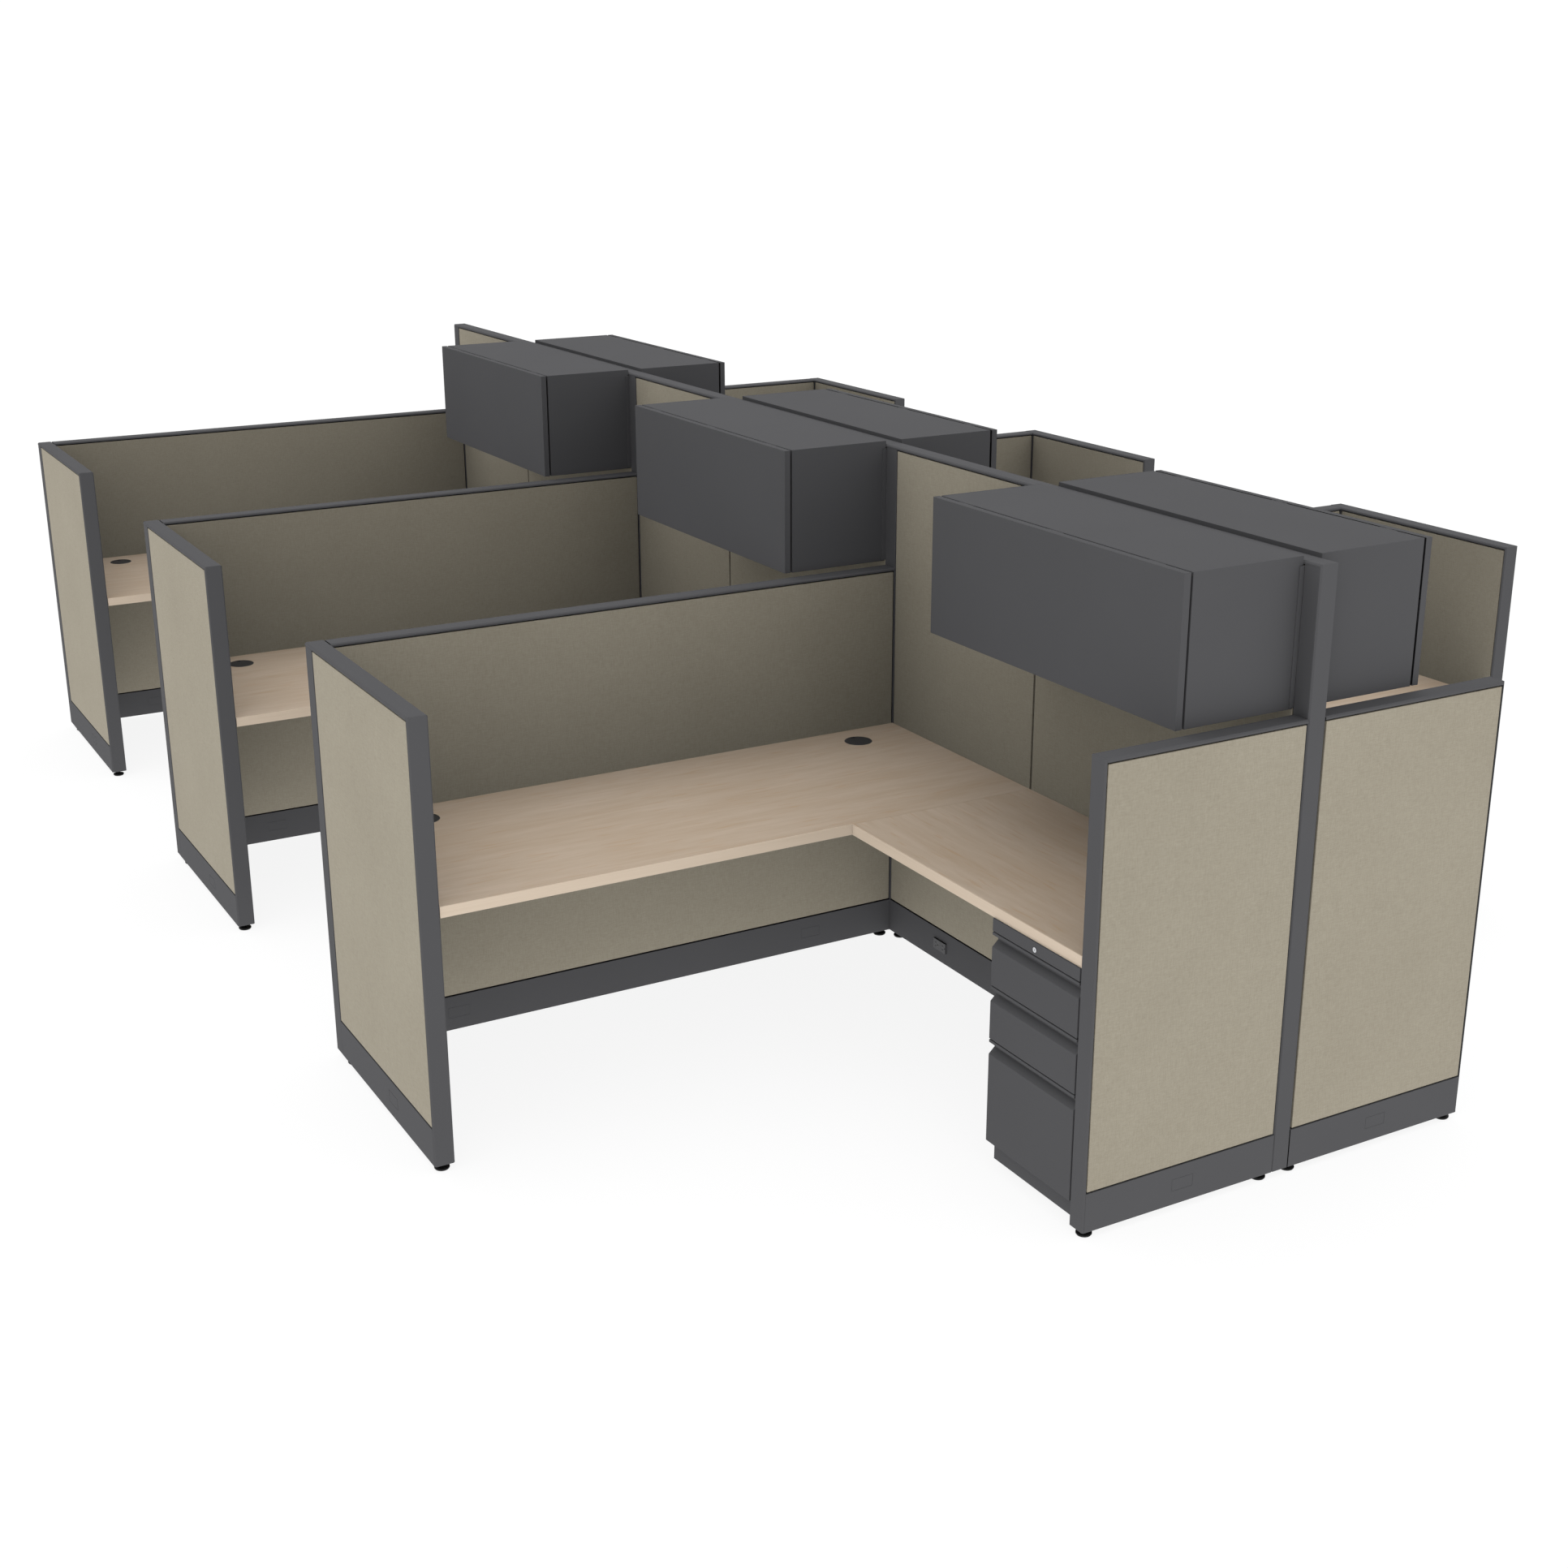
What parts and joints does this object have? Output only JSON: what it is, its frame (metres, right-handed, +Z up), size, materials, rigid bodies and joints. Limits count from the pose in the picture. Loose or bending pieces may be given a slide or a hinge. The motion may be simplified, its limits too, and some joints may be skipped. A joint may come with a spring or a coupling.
{
  "type": "cubicle workstation",
  "caption": "Cubicle workstation cluster on a shared spine: fabric panels, L-shaped worksurfaces, overhead bins with lift-up doors, and lockable drawer pedestals.",
  "frame": {"origin": "on the floor, at the centre of the footprint", "axes": "+Y along the spine from its near end, +Z up, -X towards the near row of stations"},
  "size_m": [3.873, 5.715, 1.667],
  "materials": {
    "dark_steel": "dark primer",
    "fabric": "woven, matt",
    "charcoal_metal": "satin powder coat",
    "bin_metal": "satin powder coat",
    "pedestal_metal": "satin powder coat",
    "black_plastic": "matt moulding",
    "charcoal_plastic": "matt moulding",
    "black_rubber": "matt",
    "laminate": "light woodgrain laminate on board",
    "edge_plastic": "light edge band",
    "zinc": "zinc plated",
    "chrome": "bright"
  },
  "bodies": {
    "cluster": {"panel_frames": "dark_steel", "fabric_tiles": "fabric", "top_caps": "charcoal_metal", "posts": "charcoal_metal", "end_trims": "charcoal_metal", "raceway_covers": "charcoal_metal", "outlet_plates": "charcoal_plastic", "levelling_glides": "black_rubber", "main_worksurfaces": "laminate", "return_worksurfaces": "laminate", "edge_bands": "edge_plastic", "grommets": "black_plastic", "brackets": "charcoal_metal", "bin_tops": "bin_metal", "bin_shelves": "bin_metal", "bin_backs": "bin_metal", "bin_ends": "bin_metal", "bin_hinges": "bin_metal", "pedestal_sides": "pedestal_metal", "pedestal_backs": "pedestal_metal", "pedestal_bases": "pedestal_metal", "pedestal_tops": "pedestal_metal", "drawer_slides": "zinc", "lock_barrels": "chrome"},
    "near_1_door": {"near_1_bin_door": "bin_metal"},
    "near_1_top_drawer": {"near_1_top_drawer": "pedestal_metal"},
    "near_1_middle_drawer": {"near_1_middle_drawer": "pedestal_metal"},
    "near_1_file_drawer": {"near_1_file_drawer": "pedestal_metal"},
    "near_1_plug": {"near_1_lock_plug": "chrome"},
    "near_1_bar": {"near_1_lock_bar": "zinc"},
    "near_2_door": {"near_2_bin_door": "bin_metal"},
    "near_2_top_drawer": {"near_2_top_drawer": "pedestal_metal"},
    "near_2_middle_drawer": {"near_2_middle_drawer": "pedestal_metal"},
    "near_2_file_drawer": {"near_2_file_drawer": "pedestal_metal"},
    "near_2_plug": {"near_2_lock_plug": "chrome"},
    "near_2_bar": {"near_2_lock_bar": "zinc"},
    "near_3_door": {"near_3_bin_door": "bin_metal"},
    "near_3_top_drawer": {"near_3_top_drawer": "pedestal_metal"},
    "near_3_middle_drawer": {"near_3_middle_drawer": "pedestal_metal"},
    "near_3_file_drawer": {"near_3_file_drawer": "pedestal_metal"},
    "near_3_plug": {"near_3_lock_plug": "chrome"},
    "near_3_bar": {"near_3_lock_bar": "zinc"},
    "far_1_door": {"far_1_bin_door": "bin_metal"},
    "far_1_top_drawer": {"far_1_top_drawer": "pedestal_metal"},
    "far_1_middle_drawer": {"far_1_middle_drawer": "pedestal_metal"},
    "far_1_file_drawer": {"far_1_file_drawer": "pedestal_metal"},
    "far_1_plug": {"far_1_lock_plug": "chrome"},
    "far_1_bar": {"far_1_lock_bar": "zinc"},
    "far_2_door": {"far_2_bin_door": "bin_metal"},
    "far_2_top_drawer": {"far_2_top_drawer": "pedestal_metal"},
    "far_2_middle_drawer": {"far_2_middle_drawer": "pedestal_metal"},
    "far_2_file_drawer": {"far_2_file_drawer": "pedestal_metal"},
    "far_2_plug": {"far_2_lock_plug": "chrome"},
    "far_2_bar": {"far_2_lock_bar": "zinc"},
    "far_3_door": {"far_3_bin_door": "bin_metal"},
    "far_3_top_drawer": {"far_3_top_drawer": "pedestal_metal"},
    "far_3_middle_drawer": {"far_3_middle_drawer": "pedestal_metal"},
    "far_3_file_drawer": {"far_3_file_drawer": "pedestal_metal"},
    "far_3_plug": {"far_3_lock_plug": "chrome"},
    "far_3_bar": {"far_3_lock_bar": "zinc"}
  },
  "joints": [
    {"name": "near_1_door_hinge", "type": "hinge", "parent": "cluster", "child": "near_1_door", "pos_m": [-0.3733, -2.267, 1.6639], "axis": [0, 1, 0], "range_deg": [0, 90]},
    {"name": "near_1_top_drawer_slide", "type": "slide", "parent": "cluster", "child": "near_1_top_drawer", "axis": [-1, 0, 0], "range_m": [0, 0.38]},
    {"name": "near_1_middle_drawer_slide", "type": "slide", "parent": "cluster", "child": "near_1_middle_drawer", "axis": [-1, 0, 0], "range_m": [0, 0.38]},
    {"name": "near_1_file_drawer_slide", "type": "slide", "parent": "cluster", "child": "near_1_file_drawer", "axis": [-1, 0, 0], "range_m": [0, 0.4]},
    {"name": "near_1_key_turn", "type": "hinge", "parent": "cluster", "child": "near_1_plug", "pos_m": [-0.65, -2.6165, 0.70305], "axis": [1, 0, 0], "range_deg": [0, 90]},
    {"name": "near_1_bar_lift", "type": "slide", "parent": "cluster", "child": "near_1_bar", "axis": [0, 0, 1], "range_m": [0, 0.00849]},
    {"name": "near_2_door_hinge", "type": "hinge", "parent": "cluster", "child": "near_2_door", "pos_m": [-0.3733, -0.381, 1.6639], "axis": [0, 1, 0], "range_deg": [0, 90]},
    {"name": "near_2_top_drawer_slide", "type": "slide", "parent": "cluster", "child": "near_2_top_drawer", "axis": [-1, 0, 0], "range_m": [0, 0.38]},
    {"name": "near_2_middle_drawer_slide", "type": "slide", "parent": "cluster", "child": "near_2_middle_drawer", "axis": [-1, 0, 0], "range_m": [0, 0.38]},
    {"name": "near_2_file_drawer_slide", "type": "slide", "parent": "cluster", "child": "near_2_file_drawer", "axis": [-1, 0, 0], "range_m": [0, 0.4]},
    {"name": "near_2_key_turn", "type": "hinge", "parent": "cluster", "child": "near_2_plug", "pos_m": [-0.65, -0.7305, 0.70305], "axis": [1, 0, 0], "range_deg": [0, 90]},
    {"name": "near_2_bar_lift", "type": "slide", "parent": "cluster", "child": "near_2_bar", "axis": [0, 0, 1], "range_m": [0, 0.00849]},
    {"name": "near_3_door_hinge", "type": "hinge", "parent": "cluster", "child": "near_3_door", "pos_m": [-0.3733, 1.505, 1.6639], "axis": [0, 1, 0], "range_deg": [0, 90]},
    {"name": "near_3_top_drawer_slide", "type": "slide", "parent": "cluster", "child": "near_3_top_drawer", "axis": [-1, 0, 0], "range_m": [0, 0.38]},
    {"name": "near_3_middle_drawer_slide", "type": "slide", "parent": "cluster", "child": "near_3_middle_drawer", "axis": [-1, 0, 0], "range_m": [0, 0.38]},
    {"name": "near_3_file_drawer_slide", "type": "slide", "parent": "cluster", "child": "near_3_file_drawer", "axis": [-1, 0, 0], "range_m": [0, 0.4]},
    {"name": "near_3_key_turn", "type": "hinge", "parent": "cluster", "child": "near_3_plug", "pos_m": [-0.65, 1.1555, 0.70305], "axis": [1, 0, 0], "range_deg": [0, 90]},
    {"name": "near_3_bar_lift", "type": "slide", "parent": "cluster", "child": "near_3_bar", "axis": [0, 0, 1], "range_m": [0, 0.00849]},
    {"name": "far_1_door_hinge", "type": "hinge", "parent": "cluster", "child": "far_1_door", "pos_m": [0.3733, -2.267, 1.6639], "axis": [0, -1, 0], "range_deg": [0, 90]},
    {"name": "far_1_top_drawer_slide", "type": "slide", "parent": "cluster", "child": "far_1_top_drawer", "axis": [1, 0, 0], "range_m": [0, 0.38]},
    {"name": "far_1_middle_drawer_slide", "type": "slide", "parent": "cluster", "child": "far_1_middle_drawer", "axis": [1, 0, 0], "range_m": [0, 0.38]},
    {"name": "far_1_file_drawer_slide", "type": "slide", "parent": "cluster", "child": "far_1_file_drawer", "axis": [1, 0, 0], "range_m": [0, 0.4]},
    {"name": "far_1_key_turn", "type": "hinge", "parent": "cluster", "child": "far_1_plug", "pos_m": [0.65, -2.6165, 0.70305], "axis": [1, 0, 0], "range_deg": [0, 90]},
    {"name": "far_1_bar_lift", "type": "slide", "parent": "cluster", "child": "far_1_bar", "axis": [0, 0, 1], "range_m": [0, 0.00849]},
    {"name": "far_2_door_hinge", "type": "hinge", "parent": "cluster", "child": "far_2_door", "pos_m": [0.3733, -0.381, 1.6639], "axis": [0, -1, 0], "range_deg": [0, 90]},
    {"name": "far_2_top_drawer_slide", "type": "slide", "parent": "cluster", "child": "far_2_top_drawer", "axis": [1, 0, 0], "range_m": [0, 0.38]},
    {"name": "far_2_middle_drawer_slide", "type": "slide", "parent": "cluster", "child": "far_2_middle_drawer", "axis": [1, 0, 0], "range_m": [0, 0.38]},
    {"name": "far_2_file_drawer_slide", "type": "slide", "parent": "cluster", "child": "far_2_file_drawer", "axis": [1, 0, 0], "range_m": [0, 0.4]},
    {"name": "far_2_key_turn", "type": "hinge", "parent": "cluster", "child": "far_2_plug", "pos_m": [0.65, -0.7305, 0.70305], "axis": [1, 0, 0], "range_deg": [0, 90]},
    {"name": "far_2_bar_lift", "type": "slide", "parent": "cluster", "child": "far_2_bar", "axis": [0, 0, 1], "range_m": [0, 0.00849]},
    {"name": "far_3_door_hinge", "type": "hinge", "parent": "cluster", "child": "far_3_door", "pos_m": [0.3733, 1.505, 1.6639], "axis": [0, -1, 0], "range_deg": [0, 90]},
    {"name": "far_3_top_drawer_slide", "type": "slide", "parent": "cluster", "child": "far_3_top_drawer", "axis": [1, 0, 0], "range_m": [0, 0.38]},
    {"name": "far_3_middle_drawer_slide", "type": "slide", "parent": "cluster", "child": "far_3_middle_drawer", "axis": [1, 0, 0], "range_m": [0, 0.38]},
    {"name": "far_3_file_drawer_slide", "type": "slide", "parent": "cluster", "child": "far_3_file_drawer", "axis": [1, 0, 0], "range_m": [0, 0.4]},
    {"name": "far_3_key_turn", "type": "hinge", "parent": "cluster", "child": "far_3_plug", "pos_m": [0.65, 1.1555, 0.70305], "axis": [1, 0, 0], "range_deg": [0, 90]},
    {"name": "far_3_bar_lift", "type": "slide", "parent": "cluster", "child": "far_3_bar", "axis": [0, 0, 1], "range_m": [0, 0.00849]}
  ],
  "couplings": [
    {"joint": "near_1_key_turn", "follows": "near_1_bar_lift", "rad_per_m": 185.02},
    {"joint": "near_2_key_turn", "follows": "near_2_bar_lift", "rad_per_m": 185.02},
    {"joint": "near_3_key_turn", "follows": "near_3_bar_lift", "rad_per_m": 185.02},
    {"joint": "far_1_key_turn", "follows": "far_1_bar_lift", "rad_per_m": 185.02},
    {"joint": "far_2_key_turn", "follows": "far_2_bar_lift", "rad_per_m": 185.02},
    {"joint": "far_3_key_turn", "follows": "far_3_bar_lift", "rad_per_m": 185.02}
  ]
}
